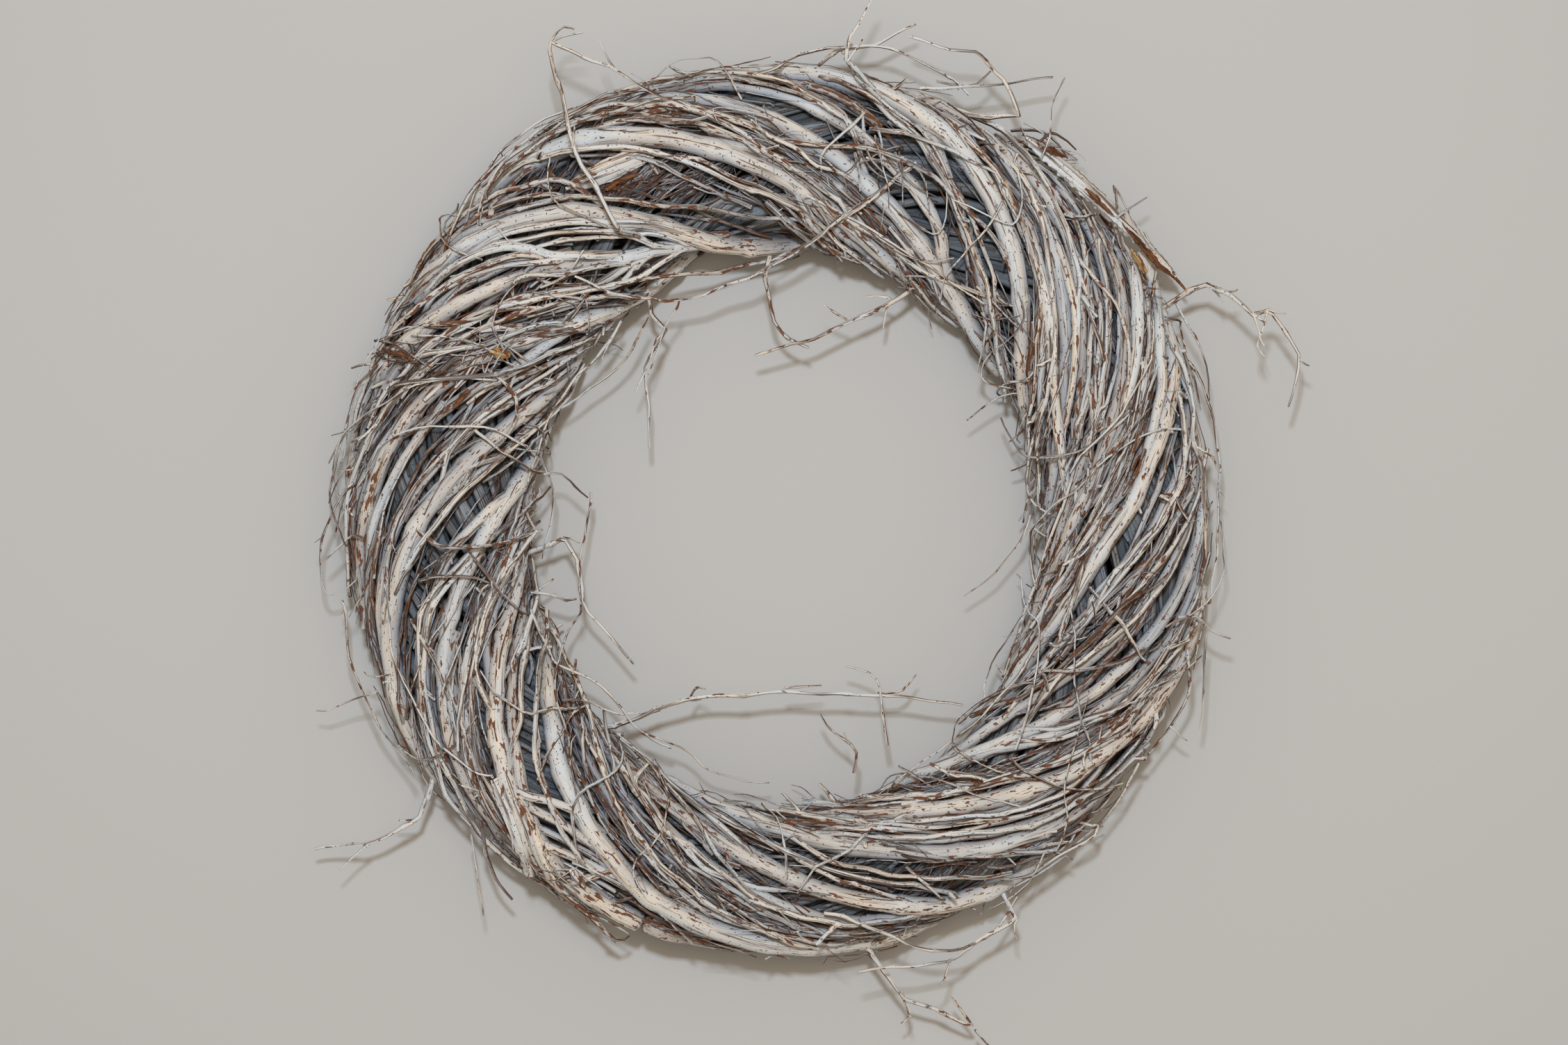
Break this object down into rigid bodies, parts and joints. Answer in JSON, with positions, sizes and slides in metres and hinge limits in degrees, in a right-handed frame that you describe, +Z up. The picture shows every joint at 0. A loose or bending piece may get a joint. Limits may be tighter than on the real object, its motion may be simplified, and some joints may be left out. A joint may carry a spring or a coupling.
{
  "type": "twig wreath",
  "caption": "Round wreath of dry whitewashed twigs wound slantwise round a core of canes, with forked boughs, stray sprigs and an open hole.",
  "frame": {"origin": "middle of the footprint at the table, under the wreath as it lies face up", "axes": "+Z up out of the wreath's face; +Y to the top of the wreath as it hangs; +X to the right as one looks at its face"},
  "size_m": [0.444, 0.4612, 0.079],
  "materials": {
    "inner_canes": "dull, dry, grey canes with thin worn whitewash",
    "whitewashed_bark": "dry matt bark, whitewashed, with brown bark through chips and at knots",
    "weathered_bark": "dry matt bark with thinner whitewash"
  },
  "bodies": {
    "root": {"core_canes_1": "inner_canes", "core_canes_2": "inner_canes", "core_canes_3": "inner_canes", "core_canes_4": "inner_canes", "core_canes_5": "inner_canes", "core_canes_6": "inner_canes", "core_canes_7": "inner_canes", "core_canes_8": "inner_canes", "front_bough_01": "whitewashed_bark", "front_bough_02": "whitewashed_bark", "front_bough_03": "whitewashed_bark", "front_bough_04": "whitewashed_bark", "front_bough_05": "whitewashed_bark", "front_bough_06": "whitewashed_bark", "front_bough_07": "whitewashed_bark", "front_bough_08": "whitewashed_bark", "front_bough_09": "whitewashed_bark", "front_bough_10": "whitewashed_bark", "front_bough_11": "whitewashed_bark", "front_bough_12": "whitewashed_bark", "front_bough_13": "whitewashed_bark", "front_bough_14": "whitewashed_bark", "front_bough_15": "whitewashed_bark", "front_bough_16": "whitewashed_bark", "back_bough_01": "weathered_bark", "back_bough_02": "weathered_bark", "back_bough_03": "weathered_bark", "back_bough_04": "weathered_bark", "back_bough_05": "weathered_bark", "back_bough_06": "weathered_bark", "back_bough_07": "weathered_bark", "back_bough_08": "weathered_bark", "back_bough_09": "weathered_bark", "back_bough_10": "weathered_bark", "back_bough_11": "weathered_bark", "back_bough_12": "weathered_bark", "back_bough_13": "weathered_bark", "back_bough_14": "weathered_bark", "back_bough_15": "weathered_bark", "back_bough_16": "weathered_bark", "back_bough_17": "weathered_bark"}
  },
  "joints": []
}
